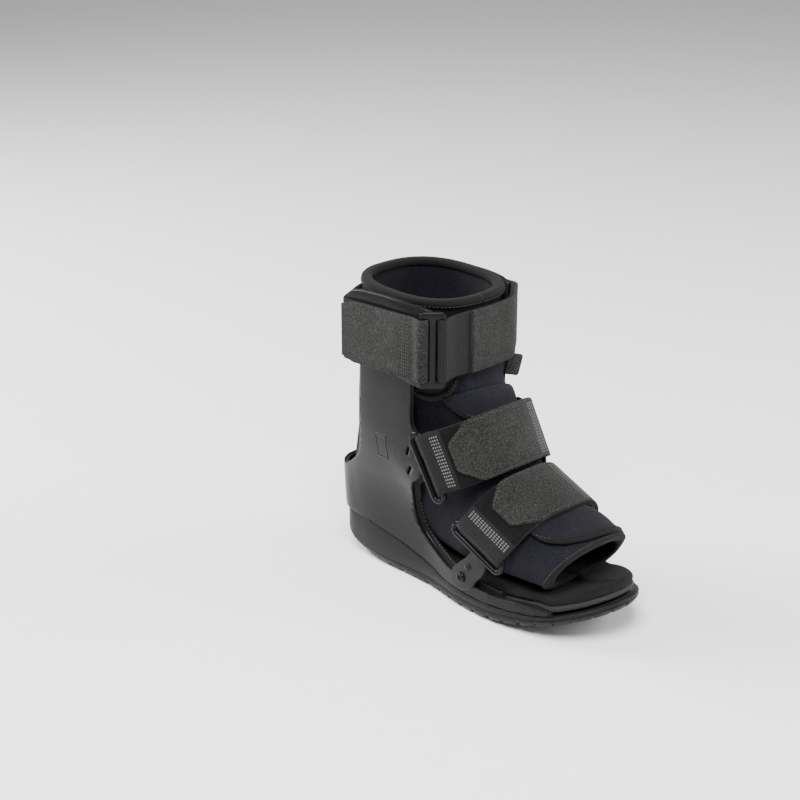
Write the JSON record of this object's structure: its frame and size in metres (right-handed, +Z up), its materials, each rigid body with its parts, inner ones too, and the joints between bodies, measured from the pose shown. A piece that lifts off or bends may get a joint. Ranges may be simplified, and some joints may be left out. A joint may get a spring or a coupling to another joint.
{
  "type": "walking boot",
  "caption": "Short medical walking boot: rocker sole, moulded shell with uprights, padded open-toe liner, three hook straps in long rings and a buckle.",
  "frame": {"origin": "centre of the bounding box on the floor under the sole", "axes": "-Y towards the toe, -X towards the buckle side, +Z up along the leg"},
  "size_m": [0.1362, 0.295, 0.2505],
  "materials": {
    "shell_plastic": "satin moulded plastic",
    "sole_rubber": "matt moulded rubber",
    "footbed_foam": "dense foam with fine ribs",
    "liner_fabric": "brushed loop fabric over foam",
    "edge_tape": "folded binding tape",
    "strap_webbing": "woven strap with light weave marks",
    "strap_pile": "short brushed pile",
    "buckle_plastic": "smooth dark plastic"
  },
  "bodies": {
    "root": {"outsole": "sole_rubber", "shell": "shell_plastic", "footbed_base": "footbed_foam", "footbed_top": "footbed_foam", "rim_trim_lateral": "edge_tape", "rim_trim_medial": "edge_tape", "liner_foot": "liner_fabric", "liner_leg": "liner_fabric", "collar_binding": "edge_tape", "toe_binding": "edge_tape", "toe_flap": "liner_fabric", "tongue_flap": "liner_fabric", "ankle_flap": "liner_fabric", "wing_lateral": "shell_plastic", "wing_medial": "shell_plastic", "upper_strap": "strap_webbing", "upper_strap_overlap_lateral": "strap_pile", "upper_strap_overlap_front": "strap_pile", "upper_strap_tab": "strap_pile", "upper_buckle": "buckle_plastic", "mid_strap": "strap_webbing", "mid_strap_overlap": "strap_pile", "front_strap": "strap_webbing", "front_strap_overlap": "strap_pile", "ring_mid_lateral": "buckle_plastic", "ring_mid_medial": "buckle_plastic", "ring_front_lateral": "buckle_plastic", "ring_front_medial": "buckle_plastic", "bracket_lateral": "shell_plastic", "bracket_medial": "shell_plastic", "rivet_lateral": "buckle_plastic", "rivet_medial": "buckle_plastic"}
  },
  "joints": []
}
